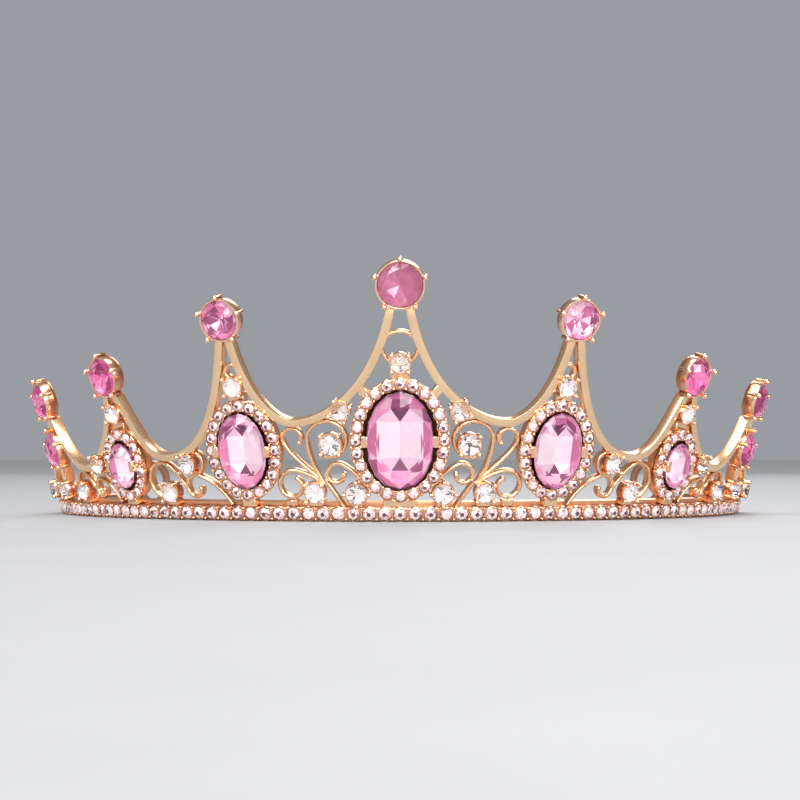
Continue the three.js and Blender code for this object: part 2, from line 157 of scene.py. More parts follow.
class HalfArch(NamedTuple):
    """Half of an arch, from a peak to the bottom of a valley, with its two handles."""
    top: tuple
    valley: tuple
    lean: float
    drop: float
    run: float


ARCHES = (
    (HalfArch((1.5, 37.1), (18.3, 16.6), 9.7, 16, 5.1),
     HalfArch((27.95, 31.7), (18.3, 16.6), 9.6, 13.2, 1.3)),
    (HalfArch((29.65, 31.7), (44, 10.3), 9.2, 6, 11.1),
     HalfArch((54.2, 22.1), (44, 10.3), 28, 6.4, 4.9)),
    (HalfArch((56.7, 22.1), (68.9, 8.2), 4, 8, 5),
     HalfArch((81.2, 18.1), (68.9, 8.2), 20, 5, 5)),
    (HalfArch((83.8, 18.1), (103.4, 2), 14, 9, 8),),
)


class Scroll(NamedTuple):
    """A stem that leaves its root at an angle and winds round an eye, from outer to inner radius."""
    root: tuple
    eye: tuple
    outer: float
    inner: float
    start: float
    sweep: float
    aim: float
    lead: tuple


SCROLLS = (
    Scroll((13.5, 5.6), (12.4, 13.4), 3.6, 3.1, -5, 285, 58, (2.5, 3)),
    Scroll((5.6, 4.6), (11, 7.05), 2.1, 1.2, 112, -290, 62, (2, 1.4)),
    Scroll((13.4, 5.6), (18.5, 13.75), 1.95, 1.45, -22, 240, 43, (3.5, 2.4)),
    Scroll((13.3, 5.4), (19.1, 5), 2.85, 1.5, 100, -335, 40, (2, 1.5)),
    Scroll((31.3, 1.5), (38.6, 4.4), 2.55, 1, 105, -285, 60, (3.5, 2.5)),
    Scroll((40.3, 3.9), (46, 5.9), 3.25, 3.4, 125, -205, 62, (1.5, 1.5)),
    Scroll((59, 1.5), (65.4, 3.9), 2.2, 0.9, 105, -285, 60, (3, 2.2)),
    Scroll((67.1, 3.6), (72.3, 4.9), 2.6, 2.7, 125, -200, 66, (1.3, 1.2)),
    Scroll((88.3, 1.5), (93, 3.9), 2, 0.9, 105, -285, 60, (2.2, 1.8)),
)
SIDE_RINGS = ((38.5, 9.2, 2.4), (62.7, 9.1, 2.4))

LUG = ((6.9, 23.3), (5.2, 21.2))
LUG_WIDTH = 1.5
PLAIN_STEM = ((12.9, 5.6), (9.9, 1.2))
SCROLL_TIP = ((0, -1.95), (0.3, -1.85), (0.46, -1.5), (0.5, -0.8), (0.36, -0.4), (0, -0.3))

# End wires: where they lie on the band, then places as x, distance behind the head's centre, height
WIRE_ON_BAND_U = (98.875, 103.375)
WIRE_ON_BAND_VW = (0.3, -4)
WIRE_KNOTS = ((60.6, 10, 3), (58.6, 21, 4.2))
EYE_AT = (55.5, 35, 5.4)
EYE_RADIUS = 4.35
EYE_TURN = math.radians(35)

# The glass of a stone reaches this far past its foil, sideways and down
GLASS_OVER = 0.015
GLASS_UNDER = 0.05

BOTH_SIDES = (1, -1)


# Places on the bent face

def bent(point):
    """A point of the drawing, bent round the head and given in metres."""
    angle = point[0] / HEAD_RADIUS
    radius = HEAD_RADIUS + point[1] * math.sin(FLARE) + point[2] * math.cos(FLARE)
    height = (point[1] + BAND_HALF_HEIGHT) * math.cos(FLARE) - point[2] * math.sin(FLARE)
    return MM * Vector((radius * math.sin(angle), HEAD_CENTRE_Y - radius * math.cos(angle), height))


def seat(u, v, turn=0.0):
    """The place of a rigid part that stands on the face, as a matrix from millimetres."""
    angle = u / HEAD_RADIUS
    along = Vector((math.cos(angle), math.sin(angle), 0))
    out = Vector((
        math.cos(FLARE) * math.sin(angle), -math.cos(FLARE) * math.cos(angle), -math.sin(FLARE)))
    basis = Matrix((along, out.cross(along), out)).transposed().to_4x4()
    place = Matrix.Translation(bent((u, v, 0))) @ basis
    return place @ Matrix.Rotation(turn, 4, "Z") @ Matrix.Scale(MM, 4)


def peak_seats():
    """Every peak with its side: the centre once, the others on both sides."""
    for peak, sides in [(CENTRE_PEAK, (1,))] + [(peak, BOTH_SIDES) for peak in SIDE_PEAKS]:
        for side in sides:
            yield peak, side


def oval_seats():
    """Every peak with the seat of its oval stone."""
    for peak, side in peak_seats():
        yield peak, seat(side * peak.u, peak.oval_at)


# Parts: small meshes in millimetres, and the pieces that gather them

def in_scene(name, data):
    """A new object in the scene that holds the data."""
    item = bpy.data.objects.new(name, data)
    bpy.context.scene.collection.objects.link(item)
    return item


def new_part():
    """An empty mesh that knows how deep its metal lies and how its facets are shaded."""
    part = bmesh.new()
    part.verts.layers.float.new("depth")
    part.faces.layers.float.new("shade")
    return part


class Piece:
    """One object, gathered from parts that are laid on the bent face."""

    def __init__(self):
        self.mesh = new_part()

    def add(self, part, place=None):
        """Lay a part in its place: a seat, or bent with the drawing if there is none."""
        flat = bpy.data.meshes.new("part")
        part.to_mesh(flat)
        known = len(self.mesh.verts)
        self.mesh.from_mesh(flat)
        bpy.data.meshes.remove(flat)
        depth = self.mesh.verts.layers.float["depth"]
        for vert in list(self.mesh.verts)[known:]:
            vert[depth] = min(max((0.3 - vert.co.z) / 2.3, 0), 1)
            vert.co = place @ vert.co if place else bent(vert.co)

    def finish(self, name, material, slot, nodes, smooth=None):
        """Make the object: smooth is the angle in degrees up to which its faces blend."""
        mesh = bpy.data.meshes.new(name)
        self.mesh.to_mesh(mesh)
        self.mesh.free()
        if smooth:
            mesh.shade_smooth()
            mesh.set_sharp_from_angle(angle=math.radians(smooth))
        mesh.materials.append(material)
        piece = in_scene(name, mesh)
        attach(piece, "root")
        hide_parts(*nodes)
        return piece


def verts_in(items):
    """The vertices among the results of an operator."""
    return [item for item in items if isinstance(item, bmesh.types.BMVert)]


def put_outward(part):
    """Weld a part and turn its faces outward."""
    bmesh.ops.remove_doubles(part, verts=part.verts, dist=0.002)
    bmesh.ops.recalc_face_normals(part, faces=part.faces)


def ease_edges(part, size, segments=1):
    """Bevel the sharp edges of a part."""
    sharp = [edge for edge in part.edges
             if edge.is_manifold and edge.calc_face_angle(0) > math.radians(35)]
    bmesh.ops.bevel(
        part, geom=sharp, offset=size, offset_type="OFFSET", segments=segments, profile=0.5,
        affect="EDGES", clamp_overlap=True, material=-1)


def carried(points, section, up=OUTWARD, closed=False):
    """A section of across and up, extruded from point to point."""
    places = []
    last = len(points) - 1
    for i, point in enumerate(points):
        before = points[i - 1] if closed or i else point
        after = points[0 if closed and i == last else min(i + 1, last)]
        along = (after - before).normalized()
        across = up.cross(along).normalized()
        basis = Matrix((across, along.cross(across), along)).transposed().to_4x4()
        places.append(Matrix.Translation(point) @ basis)
    part = new_part()
    verts = [part.verts.new(places[0] @ Vector((x, y, 0))) for x, y in section]
    first = [part.edges.new((verts[i - 1], vert)) for i, vert in enumerate(verts)]
    edges = first
    steps = places[1:] + places[:1] if closed else places[1:]
    for before, after in zip(places, steps):
        grown = bmesh.ops.extrude_edge_only(part, edges=edges)["geom"]
        verts = verts_in(grown)
        edges = [item for item in grown if isinstance(item, bmesh.types.BMEdge) and item.is_boundary]
        bmesh.ops.transform(part, matrix=after @ before.inverted(), verts=verts)
    if not closed:
        for end in (first, edges):
            bmesh.ops.edgeloop_fill(part, edges=end)
    put_outward(part)
    return part


def spun(profile, sides, closed=False):
    """A profile of radius and height, turned once round the stone's axis."""
    part = new_part()
    verts = [part.verts.new((radius, 0, height)) for radius, height in profile]
    pairs = list(zip(verts, verts[1:])) + ([(verts[-1], verts[0])] if closed else [])
    edges = [part.edges.new(pair) for pair in pairs]
    bmesh.ops.spin(
        part, geom=verts + edges, cent=(0, 0, 0), axis=(0, 0, 1), angle=math.tau, steps=sides,
        use_merge=True)
    put_outward(part)
    return part


def block(low, high):
    """A box between two corners, with its edges eased."""
    part = new_part()
    size = Vector(high) - Vector(low)
    middle = (Vector(high) + Vector(low)) / 2
    bmesh.ops.create_cube(part, size=1, matrix=Matrix.Translation(middle) @ Matrix.Diagonal((*size, 1)))
    ease_edges(part, 0.12)
    return part


def post(u, width, low, high, front):
    """A block up the face, from the metal's back to its own front."""
    return block((u - width / 2, low, METAL_BACK), (u + width / 2, high, front))


def ball(radius, centre, across, up):
    """A round bead."""
    part = new_part()
    bmesh.ops.create_uvsphere(
        part, u_segments=across, v_segments=up, radius=radius, matrix=Matrix.Translation(centre))
    return part


def rectangle(width, back, front):
    """A flat section between its back and its front."""
    half = width / 2
    return [(-half, back), (half, back), (half, front), (-half, front)]


def wire_section(width, back, front):
    """A section with full round shoulders at the front and back."""
    sides = 12
    middle = (back + front) / 2
    points = []
    for i in range(sides):
        angle = math.tau * (i + 0.5) / sides
        across = math.copysign(abs(math.cos(angle)) ** 0.7, math.cos(angle))
        rise = math.copysign(abs(math.sin(angle)) ** 0.7, math.sin(angle))
        points.append((across * width / 2, middle + rise * (front - back) / 2))
    return points


# Lines of the drawing

def band_line():
    """The middle line of the band, with two bends to a stone."""
    return [Vector((BAND_LENGTH * (i / BAND_BENDS - 0.5), 0, 0)) for i in range(BAND_BENDS + 1)]


def under(w):
    """How low the band's level underside lies at a depth."""
    return w * math.tan(FLARE) - BAND_HALF_HEIGHT


def drawn(points, side):
    """Points of the drawing's right half, mirrored to the left where the side is -1."""
    return [Vector((side * point[0], point[1], 0)) for point in points]


def arch_line(arch, side):
    """Half an arch, from its peak down to its valley."""
    towards = math.copysign(1, arch.valley[0] - arch.top[0])
    lean = math.radians(arch.lean)
    top = Vector((*arch.top, 0))
    valley = Vector((*arch.valley, 0))
    fall = top + arch.drop * Vector((towards * math.sin(lean), -math.cos(lean), 0))
    settle = valley - Vector((towards * arch.run, 0, 0))
    return drawn(interpolate_bezier(top, fall, settle, valley, 24), side)


def scroll_line(scroll, side):
    """A scroll: its stem, then its spiral."""
    def on_spiral(share):
        angle = math.radians(scroll.start + scroll.sweep * share)
        radius = scroll.outer + (scroll.inner - scroll.outer) * share
        u, v = scroll.eye
        return Vector((u + radius * math.cos(angle), v + radius * math.sin(angle), 0))

    turning = math.radians(scroll.start + math.copysign(90, scroll.sweep))
    heading = Vector((math.cos(turning), math.sin(turning), 0))
    aim = math.radians(scroll.aim)
    root = Vector((*scroll.root, 0))
    leave = root + scroll.lead[0] * Vector((math.cos(aim), math.sin(aim), 0))
    arrive = on_spiral(0) - scroll.lead[1] * heading
    steps = round(abs(scroll.sweep) / 9)
    points = interpolate_bezier(root, leave, arrive, on_spiral(0), 12)
    points += [on_spiral((i + 1) / steps) for i in range(steps)]
    return drawn(points, side)


def oval_line(half_u, half_v, count):
    """Points spaced evenly round an oval from its top, each with the way it faces."""
    fine = 720
    line = [Vector((half_u * -math.sin(math.tau * i / fine), half_v * math.cos(math.tau * i / fine), 0))
            for i in range(fine + 1)]
    lengths = [0.0]
    for before, after in zip(line, line[1:]):
        lengths.append(lengths[-1] + (after - before).length)
    points = []
    at = 0
    for i in range(count):
        while lengths[at] < lengths[-1] * i / count:
            at += 1
        facing = Vector((line[at].x / half_u ** 2, line[at].y / half_v ** 2, 0)).normalized()
        points.append((line[at], facing))
    return points


# Cut stones

class Level(NamedTuple):
    """A level outline of a cut stone: its shares of the girdle, its height, and half a step of turn."""
    across: float
    up: float
    height: float
    corners: int
    turned: bool = False


def even(share, height, corners, turned=False):
    """A level that is as wide as it is high."""
    return Level(share, share, height, corners, turned)


ROUND_BACK = (even(0.95, 0.35, 16), even(0.62, -0.7, 8, True), even(0.06, -1.4, 8))


def cut_stone(half_u, half_v, levels):
    """The solid that wraps the level outlines of a stone, with its flat facets whole."""
    part = new_part()
    for level in levels:
        turn = Matrix.Rotation(math.pi / level.corners if level.turned else 0, 4, "Z")
        size = Matrix.Diagonal((half_u * level.across, half_v * level.up, 1, 1))
        bmesh.ops.create_circle(
            part, cap_ends=False, segments=level.corners, radius=1,
            matrix=Matrix.Translation((0, 0, level.height)) @ size @ turn)
    hull = bmesh.ops.convex_hull(part, input=part.verts)
    inner = verts_in(hull["geom_interior"] + hull["geom_unused"])
    bmesh.ops.delete(part, geom=inner, context="VERTS")
    loose = [edge for edge in part.edges if not edge.link_faces]
    bmesh.ops.delete(part, geom=loose, context="EDGES")
    bmesh.ops.dissolve_limit(
        part, angle_limit=math.radians(1.5), verts=part.verts, edges=part.edges)
    bmesh.ops.recalc_face_normals(part, faces=part.faces)
    return part


def set_stone(crowns, backs, place, size, crown, back, rule):
    """A glass body over foiled back facets, which lie just inside the glass; rule shades the facets."""
    glass = [
        Level(across + GLASS_OVER, up + GLASS_OVER, height - GLASS_UNDER, corners, turned)
        for across, up, height, corners, turned in back]
    crowns.add(cut_stone(*size, crown + glass), place)
    foil = cut_stone(*size, back)
    lid = max(foil.faces, key=lambda face: face.calc_center_median().z)
    bmesh.ops.delete(foil, geom=[lid], context="FACES")
    shade_facets(foil, rule)
    backs.add(foil, place)


def shade_facets(part, rule):
    """Give each facet the painted shade that the rule finds from its centre and normal."""
    shade = part.faces.layers.float["shade"]
    for facet in part.faces:
        facet[shade] = rule(facet.calc_center_median(), facet.normal)


# Shader nodes

class Signal:
    """A socket of a finish that can stand in a sum or a product."""

    def __init__(self, finish, socket):
        self.finish = finish
        self.socket = socket

    def joined(self, operation, first, second):
        """One maths node of two inputs."""
        return self.finish.node("ShaderNodeMath", {"operation": operation}, {0: first, 1: second})

    def __add__(self, other):
        return self.joined("ADD", self, other)

    __radd__ = __add__

    def __sub__(self, other):
        return self.joined("SUBTRACT", self, other)

    def __rsub__(self, other):
        return self.joined("SUBTRACT", other, self)

    def __mul__(self, other):
        return self.joined("MULTIPLY", self, other)

    __rmul__ = __mul__


class Finish:
    """A material, built node by node."""

    def __init__(self, name):
        self.material = bpy.data.materials.new(name)
        self.material.use_nodes = True
        self.tree = self.material.node_tree
        self.tree.nodes.clear()

    def node(self, kind, settings=None, sockets=None, output=0):
        """Add a node: settings first, then values or links of its sockets. Gives one output."""
        node = self.tree.nodes.new(kind)
        for name, value in (settings or {}).items():
            if name == "stops":
                while len(node.color_ramp.elements) < len(value):
                    node.color_ramp.elements.new(1)
                for element, (place, colour) in zip(node.color_ramp.elements, value):
                    element.position = place
                    element.color = (*colour, 1)
            else:
                setattr(node, name, value)
        for name, value in (sockets or {}).items():
            if isinstance(value, Signal):
                self.tree.links.new(value.socket, node.inputs[name])
            else:
                node.inputs[name].default_value = value
        return Signal(self, node.outputs[output]) if node.outputs else None

    def noise(self, scale, detail):
        """A noise fixed to the piece."""
        place = self.node("ShaderNodeTexCoord", output="Object")
        return self.node("ShaderNodeTexNoise", {}, {"Vector": place, "Scale": scale, "Detail": detail})

    def attribute(self, name):
        """A value kept on the mesh."""
        return self.node("ShaderNodeAttribute", {"attribute_name": name}, output="Fac")

    def between(self, share, first, second):
        """A colour between two others: sockets 6 and 7, and output 2, of a colour mix."""
        settings = {"data_type": "RGBA", "clamp_factor": True}
        return self.node("ShaderNodeMix", settings, {0: share, 6: first, 7: second}, 2)

    def close(self, sockets):
        """End in one Principled surface."""
        surface = self.node("ShaderNodeBsdfPrincipled", {}, sockets)
        self.node("ShaderNodeOutputMaterial", {}, {"Surface": surface})
        return self.material


def whole(colour):
    """A colour with full alpha."""
    return (*colour, 1)


def rose_gold_finish(name, front, recess, base_roughness, reach=0.95, shadow=None):
    """Plated casting: pale on its polished fronts, duller in its recesses, which get a painted shade,
    redder and darker. The reach says how soon the painted recess shade sets in. A shadow colour
    paints shadow on the facets that are marked by their shade, behind a stone."""
    finish = Finish(name)
    grain = finish.noise(2600, 4)
    patches = finish.noise(160, 2)
    depth = finish.attribute("depth")
    # Painted shade: the recess colour sets in with the depth of the metal, and also in random patches.
    shade_and_patches = depth * reach + patches * 0.5 - 0.32
    colour = finish.between(shade_and_patches, whole(front), whole(recess))
    if shadow:
        colour = finish.between(finish.attribute("shade"), colour, whole(shadow))
    roughness = base_roughness + depth * 0.14 + grain * 0.1
    relief = finish.node("ShaderNodeBump", {}, {"Strength": 0.25, "Distance": 0.00006, "Height": grain})
    return finish.close({
        "Base Color": colour, "Metallic": 1.0, "Roughness": roughness, "Normal": relief})


def glass_finish(name, tint, roughness):
    """Clear or tinted crown of a stone, with faint polish marks."""
    finish = Finish(name)
    marks = finish.noise(5200, 2)
    relief = finish.node("ShaderNodeBump", {}, {"Strength": 0.04, "Distance": 0.00003, "Height": marks})
    return finish.close({
        "Base Color": whole(tint), "Roughness": roughness, "Transmission Weight": 1.0, "IOR": 1.5,
        "Normal": relief})


def foil_finish(name, stops, metallic, roughness, glow):
    """Foiled back facets of a stone, each painted its own brightness for the light it catches. The glow
    is painted light: emission that stands for light that the facets gather and send back."""
    finish = Finish(name)
    shade = finish.attribute("shade")
    cloud = finish.noise(700, 2)
    ramp = finish.node(
        "ShaderNodeValToRGB", {"stops": stops}, {"Fac": shade + cloud * 0.12 - 0.06})
    return finish.close({
        "Base Color": ramp, "Metallic": metallic,
        "Roughness": roughness + 0.3 + cloud * 0.08 - shade * 0.3,
        "Coat Weight": shade * 0.6, "Coat Roughness": 0.05,
        "Emission Color": ramp, "Emission Strength": glow})


def cloudy_finish(name, pale, deep):
    """Milky pink stone with soft clouds, over the painted light and shade of its back facets."""
    finish = Finish(name)
    cloud = finish.noise(260, 3)
    wisps = finish.noise(1500, 5)
    share = finish.attribute("shade") + cloud * 0.8 + wisps * 0.4 - 0.6
    colour = finish.between(share, whole(deep), whole(pale))
    return finish.close({
        "Base Color": colour, "Roughness": 0.16 + wisps * 0.06, "Subsurface Weight": 0.1,
        "Subsurface Scale": 0.001, "Coat Weight": 1.0, "Coat Roughness": 0.03})


# What a user may change

def length(name, description, default, low, high):
    """A length that a user may change."""
    return FloatProperty(
        name=name, description=description, default=default, min=low, max=high, unit="LENGTH")


def colour(name, description, default):
    """A colour that a user may change."""
    return FloatVectorProperty(
        name=name, description=description, default=default, min=0, max=1, subtype="COLOR")


class TiaraSizes(bpy.types.PropertyGroup):
    """Sizes of the metalwork"""
    strip_width: length("Strip width", "Width of the flat arch strips", 0.0014, 0.0006, 0.003)
    wire_width: length("Scroll wire", "Width of the scroll wire", 0.0008, 0.0004, 0.0016)
    prong_bead: length(
        "Prong bead", "Radius of the beads on the prongs of the round stones", 0.00056, 0.0003, 0.0008)
    grain_bead: length(
        "Grain bead", "Radius of the small beads between the cells of a stone row",
        0.00027, 0.0001, 0.0004)
    end_wire: length("End wire", "Radius of the wire of the end loops", 0.00085, 0.0005, 0.0012)


class TiaraColours(bpy.types.PropertyGroup):
    """Colours of the metal and the stones"""
    gold: colour("Gold", "Polished fronts of the strips and scrolls", (1.0, 0.71, 0.43))
    rose: colour("Rose", "Polished fronts of the stone settings", (1.0, 0.63, 0.42))
    # Painted shade: this colour darkens the metal's recesses, and also lies in random patches of copper
    # tone.
    copper_and_shade: colour("Copper", "Recesses of the metal", (0.7, 0.28, 0.13))
    wire: colour("End wire", "Duller wire of the end loops", (0.5, 0.24, 0.15))
    pink: colour("Pink", "Body of the pink stones", (0.9, 0.22, 0.5))
    clear: colour("Clear", "Body of the clear stones", (1.0, 0.93, 0.93))


def strip_metal():
    """The paler plating of the arches and scrolls."""
    colours = bpy.context.scene.tiara_colours
    return bpy.data.materials.get("strip_plating") or rose_gold_finish(
        "strip_plating", colours.gold, colours.copper_and_shade, 0.16)


def setting_metal():
    """The rosier plating of everything that holds a stone."""
    colours = bpy.context.scene.tiara_colours
    # The settings' painted recess shade sets in sooner than the strips'.
    return bpy.data.materials.get("setting_plating") or rose_gold_finish(
        "setting_plating", colours.rose, 0.85 * Vector(colours.copper_and_shade), 0.14, 2.2)


class MakeArches(bpy.types.Operator):
    """Make the flat strips that join the peaks"""
    bl_idname = "tiara.make_arches"
    bl_label = "Arch strips"

    def execute(self, context):
        piece = Piece()
        width = context.scene.tiara_sizes.strip_width / MM
        for side in BOTH_SIDES:
            for halves in ARCHES:
                line = arch_line(halves[0], side)
                if len(halves) == 2:
                    line += arch_line(halves[1], side)[-2::-1]
                strip = carried(line, rectangle(width, METAL_BACK, STRIP_FRONT))
                ease_edges(strip, 0.14, 2)
                piece.add(strip)
            lug = carried(drawn(LUG, side), rectangle(LUG_WIDTH, METAL_BACK, STRIP_FRONT))
            ease_edges(lug, 0.12)
            piece.add(lug)
        piece.finish("arch_strips", strip_metal(), "rose_gold", ["frame"], 40)
        return {"FINISHED"}


class MakeScrolls(bpy.types.Operator):
    """Make the scrolls, their stems and the rings behind the upper clear stones"""
    bl_idname = "tiara.make_scrolls"
    bl_label = "Scrolls and rings"

    def execute(self, context):
        piece = Piece()
        width = context.scene.tiara_sizes.wire_width / MM
        section = wire_section(width, METAL_BACK, WIRE_FRONT + 0.15)
        for side in BOTH_SIDES:
            for scroll in SCROLLS:
                line = scroll_line(scroll, side)
                piece.add(carried(line, section))
                tip = spun(SCROLL_TIP, 12)
                bmesh.ops.translate(tip, vec=line[-1], verts=tip.verts)
                piece.add(tip)
            piece.add(carried(drawn(PLAIN_STEM, side), section))
            for u, v, radius in SIDE_RINGS:
                self.add_ring(piece, side * u, v, radius)
        for peak, side in peak_seats():
            if peak.ring_radius:
                u, v = peak.place(peak.ring_at)
                self.add_ring(piece, side * u, v, peak.ring_radius)
        piece.finish("scrolls", strip_metal(), "rose_gold", ["frame"], 60)
        return {"FINISHED"}

    def add_ring(self, piece, u, v, radius):
        """A ring of flat wire on edge."""
        middle = radius - 0.375
        line = [Vector((u, v, 0)) + point for point, _ in oval_line(middle, middle, 36)]
        piece.add(carried(line, wire_section(0.75, METAL_BACK, WIRE_FRONT + 0.1), closed=True))


class MakeBase(bpy.types.Operator):
    """Make the base rail behind the stones, with the necks and feet that carry the peaks"""
    bl_idname = "tiara.make_base"
    bl_label = "Base rail"

    def execute(self, context):
        piece = Piece()
        rail = carried(band_line(), [
            (under(RAIL_BACK), RAIL_BACK), (RAIL_TOP, RAIL_BACK), (RAIL_TOP, RAIL_FRONT),
            (under(RAIL_FRONT), RAIL_FRONT)])
        ease_edges(rail, 0.15, 2)
        piece.add(rail)
        for peak, side in peak_seats():
            reach = peak.halo[1] + HALO_MARGIN
            u, v = peak.place(peak.oval_at + reach)
            piece.add(post(side * u, NECK_WIDTH, v - NECK_REACH, v + NECK_REACH, WIRE_FRONT))
            piece.add(post(side * peak.u, peak.foot, FOOT_LOW, peak.oval_at - reach + 0.3, 0.1))
        for side in BOTH_SIDES:
            piece.add(post(side * SHORT_FOOT_U, SHORT_FOOT_WIDTH, FOOT_LOW, FOOT_HIGH, WIRE_FRONT))
            for low, high in END_PEAK_LINKS:
                piece.add(post(side * END_PEAK_U, END_LINK_WIDTH, low, high, STRIP_FRONT))
            for stone in SCROLL_STONES:
                if stone.v < 5:
                    piece.add(post(side * stone.u, STONE_FOOT_WIDTH, FOOT_LOW, FOOT_HIGH, -0.2))
        piece.finish("base_rail", strip_metal(), "rose_gold", ["frame"], 40)
        return {"FINISHED"}


def band_stone_u(i):
    """Where a stone of the band sits along it."""
    return (i - (BAND_STONES - 1) / 2) * BAND_PITCH


def row_cell(radius, front):
    """The raised collar of one small stone in a row."""
    return spun([
        (radius, front - 0.7), (radius, front - 0.06), (radius - 0.14, front),
        (radius - 0.26, front - 0.6)], 12, closed=True)


class MakeBand(bpy.types.Operator):
    """Make the band: its channel, the collars of its stones and the beads between them"""
    bl_idname = "tiara.make_band"
    bl_label = "Band"

    def execute(self, context):
        piece = Piece()
        channel = carried(band_line(), [
            (under(CHANNEL_HEEL), CHANNEL_BACK), (CHANNEL_TOP, CHANNEL_BACK),
            (CHANNEL_TOP, CHANNEL_FRONT), (under(CHANNEL_FRONT) + 0.1, CHANNEL_FRONT)])
        ease_edges(channel, 0.1)
        piece.add(channel)
        bead_size = context.scene.tiara_sizes.grain_bead / MM
        cell = row_cell(*BAND_COLLAR)
        bead = ball(bead_size, (0, 0, 0), 8, 5)
        for i in range(BAND_STONES):
            u = band_stone_u(i)
            piece.add(cell, seat(u, 0))
            for v in (-BEAD_ROW, BEAD_ROW) if i else ():
                piece.add(bead, seat(u - BAND_PITCH / 2, v))
        piece.finish("band_channel", setting_metal(), "rose_gold", ["stone_band"], 50)
        return {"FINISHED"}


class MakeHalos(bpy.types.Operator):
    """Make the halo rings: a plate with a collar for each stone and beads between the collars"""
    bl_idname = "tiara.make_halos"
    bl_label = "Halo rings"

    def execute(self, context):
        piece = Piece()
        bead_size = context.scene.tiara_sizes.grain_bead / MM
        cell = row_cell(*HALO_COLLAR)
        bead = ball(bead_size, (0, 0, 0.22), 8, 5)
        for peak, at in oval_seats():
            line = [point for point, _ in oval_line(*peak.halo, 72)]
            plate = carried(line, rectangle(*HALO_PLATE), closed=True)
            ease_edges(plate, 0.1)
            piece.add(plate, at)
            for i, (point, facing) in enumerate(oval_line(*peak.halo, 2 * peak.stones)):
                if i % 2 == 0:
                    piece.add(cell, at @ Matrix.Translation(point))
                else:
                    for offset in (HALO_BEAD_ROW, -HALO_BEAD_ROW):
                        piece.add(bead, at @ Matrix.Translation(point + offset * facing))
        piece.finish("halo_rings", setting_metal(), "rose_gold", nodes_named("halo_"), 50)
        return {"FINISHED"}


def nodes_named(start):
    """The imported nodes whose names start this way."""
    return [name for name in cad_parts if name.startswith(start)]


def row_stone(radius, surface, draw):
    """A small brilliant of a row; draw gives the painted light and shade of its facets."""
    stone = cut_stone(radius, radius, [
        even(1, surface, 8), even(0.72, surface + 0.32, 8, True), even(0.36, surface + 0.46, 8)])
    # Painted reflection: most stones get a dark table, the rest a pale one.
    table = 0.1 if draw.random() < 0.6 else 0.75

    def shade(centre, normal):
        if centre.xy.length < 0.1 * radius:
            return table
        return draw.choice((0.35, 0.6, 0.85, 1.0, 1.0))

    shade_facets(stone, shade)
    return stone


class MakeRowStones(bpy.types.Operator):
    """Set the small clear stones of the band and of the halos"""
    bl_idname = "tiara.make_row_stones"
    bl_label = "Small stones"

    def execute(self, context):
        draw = random.Random(7)
        colours = context.scene.tiara_colours
        # Painted facet light: the ramp runs from near black to the clear colour by each facet's shade.
        finish = foil_finish(
            "small_stones", [(0, (0.04, 0.02, 0.025)), (0.35, (0.42, 0.22, 0.22)),
                             (0.65, (0.9, 0.6, 0.6)), (1, colours.clear)], 0.35, 0.08, 0.06)
        band = Piece()
        stones = [row_stone(*BAND_STONE, draw) for i in range(ROW_STONE_CUTS)]
        for i in range(BAND_STONES):
            at = seat(band_stone_u(i), 0, draw.uniform(0, math.tau))
            band.add(draw.choice(stones), at)
        band.finish("band_stones", finish, "clear_stone", ["stone_band"])
        halo = Piece()
        stones = [row_stone(*HALO_STONE, draw) for i in range(ROW_STONE_CUTS)]
        for peak, at in oval_seats():
            for point, _ in oval_line(*peak.halo, peak.stones):
                turn = Matrix.Rotation(draw.uniform(0, math.tau), 4, "Z")
                halo.add(draw.choice(stones), at @ Matrix.Translation(point) @ turn)
        halo.finish("halo_stones", finish, "clear_stone", nodes_named("halo_"))
        return {"FINISHED"}


class MakeOvalSettings(bpy.types.Operator):
    """Make the dishes and claws of the oval stones"""
    bl_idname = "tiara.make_oval_settings"
    bl_label = "Oval settings"

    def execute(self, context):
        piece = Piece()
        dishes = Piece()
        for peak, at in oval_seats():
            dishes.add(self.dish(peak), at)
            for hand in BOTH_SIDES:
                outer, edge, lip = [
                    hand * (peak.oval[0] / 2 + reach) for reach in (CLAW_OUT, CLAW_EDGE, CLAW_LIP)]
                low, high = sorted((outer, edge))
                piece.add(block((low, -1, -1.9), (high, 1, 1.2)), at)
                low, high = sorted((outer, lip))
                piece.add(block((low, -1, 0.98), (high, 1, 1.4)), at)
        piece.finish("oval_claws", setting_metal(), "rose_gold", ["frame"], 40)
        colours = context.scene.tiara_colours
        dark = rose_gold_finish(
            "dish_metal", colours.gold, colours.copper_and_shade, 0.2, shadow=0.08 * Vector(colours.copper_and_shade))
        dishes.finish("oval_dishes", dark, "rose_gold", ["frame"], 40)
        return {"FINISHED"}

    def dish(self, peak):
        """A shallow dish with a well for the stone's back."""
        outer = [0.95 * (size + HALO_MARGIN) for size in peak.halo]
        part = new_part()
        size = Matrix.Diagonal((*outer, 1, 1))
        bmesh.ops.create_circle(
            part, cap_ends=True, segments=48, radius=1, matrix=Matrix.Translation((0, 0, -0.8)) @ size)
        face = part.faces[:]
        back = bmesh.ops.extrude_face_region(part, geom=face, use_keep_orig=True)["geom"]
        bmesh.ops.translate(part, vec=(0, 0, -1.7), verts=verts_in(back))
        bmesh.ops.recalc_face_normals(part, faces=part.faces)
        front = max(part.faces, key=lambda item: item.calc_center_median().z)
        bmesh.ops.inset_individual(part, faces=[front], thickness=peak.halo[0] + 1.2 - peak.oval[0] / 2)
        bmesh.ops.inset_individual(part, faces=[front], thickness=0.3, depth=-1.45)
        rear = min(part.faces, key=lambda item: item.calc_center_median().z)
        bmesh.ops.inset_individual(part, faces=[rear], thickness=0.9)
        bmesh.ops.inset_individual(part, faces=[rear], thickness=0.35, depth=-0.2)
        ease_edges(part, 0.18, 2)
        shade_facets(part, lambda centre, normal: 1.0 if normal.z > 0.3 else 0.0)
        return part


